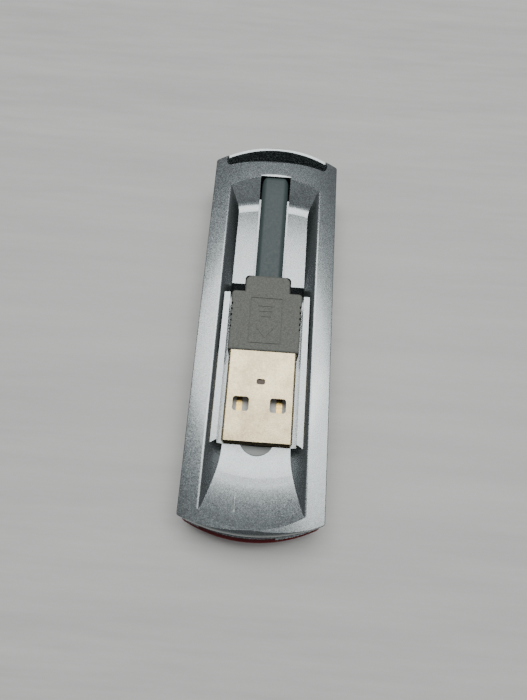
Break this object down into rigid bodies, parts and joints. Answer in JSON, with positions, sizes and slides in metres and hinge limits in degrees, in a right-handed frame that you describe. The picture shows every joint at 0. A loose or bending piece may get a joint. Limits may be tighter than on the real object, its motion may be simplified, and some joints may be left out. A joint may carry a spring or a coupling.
{
  "type": "usb flash drive",
  "caption": "Slim bar-shaped USB flash drive with a metallic back, a translucent cover and a short flat cable whose plug stows in a pocket along the back.",
  "frame": {"origin": "centre of the footprint, on the flat outer face of the translucent cover", "axes": "+X across the drive, +Y along it towards the end where the cable enters the housing, +Z outward from the back face that holds the plug"},
  "size_m": [0.024, 0.0746, 0.011],
  "materials": {
    "silver_paint": "satin metallic paint on plastic, fine flake",
    "red_translucent": "gloss translucent",
    "board_mask": "semi-gloss solder mask",
    "chip_epoxy": "matte moulded epoxy",
    "crystal_can": "satin drawn can",
    "led_resin": "clear gloss",
    "capacitor_ceramic": "matte ceramic",
    "resistor_film": "matte",
    "screw_steel": "satin",
    "grommet_rubber": "matte",
    "cable_jacket": "satin PVC",
    "solder": "semi-gloss",
    "wire_red": "satin PVC",
    "wire_white": "satin PVC",
    "wire_green": "satin PVC",
    "wire_black": "satin PVC",
    "overmould_grey": "matte fine grain PVC",
    "inner_mould": "matte",
    "plug_nickel": "satin nickel plate",
    "insulator_grey": "matte",
    "contact_gold": "gold plate"
  },
  "bodies": {
    "housing": {"back_shell": "silver_paint", "front_cover": "red_translucent", "circuit_board": "board_mask", "memory_chip": "chip_epoxy", "controller_chip": "chip_epoxy", "crystal": "crystal_can", "status_led": "led_resin", "voltage_regulator": "chip_epoxy", "capacitors": "capacitor_ceramic", "resistors": "resistor_film", "board_screws": "screw_steel", "cable_grommet": "grommet_rubber", "cable_root": "cable_jacket", "solder_joints": "solder", "wire_power": "wire_red", "wire_data_minus": "wire_white", "wire_data_plus": "wire_green", "wire_ground": "wire_black"},
    "cable": {"cable_lead": "cable_jacket"},
    "plug": {"cable_tail": "cable_jacket", "plug_overmould": "overmould_grey", "plug_inner_mould": "inner_mould", "plug_shell": "plug_nickel", "plug_insulator": "insulator_grey", "contact_power": "contact_gold", "contact_data_minus": "contact_gold", "contact_data_plus": "contact_gold", "contact_ground": "contact_gold"}
  },
  "joints": [
    {"name": "cable_fold", "type": "hinge", "parent": "housing", "child": "cable", "pos_m": [0, 0.03035, 0.0111], "axis": [-1, 0, 0], "range_deg": [0, 180]},
    {"name": "plug_flex", "type": "hinge", "parent": "cable", "child": "plug", "pos_m": [0, 0.013, 0.00831], "axis": [-1, 0, 0], "range_deg": [0, 18]}
  ]
}
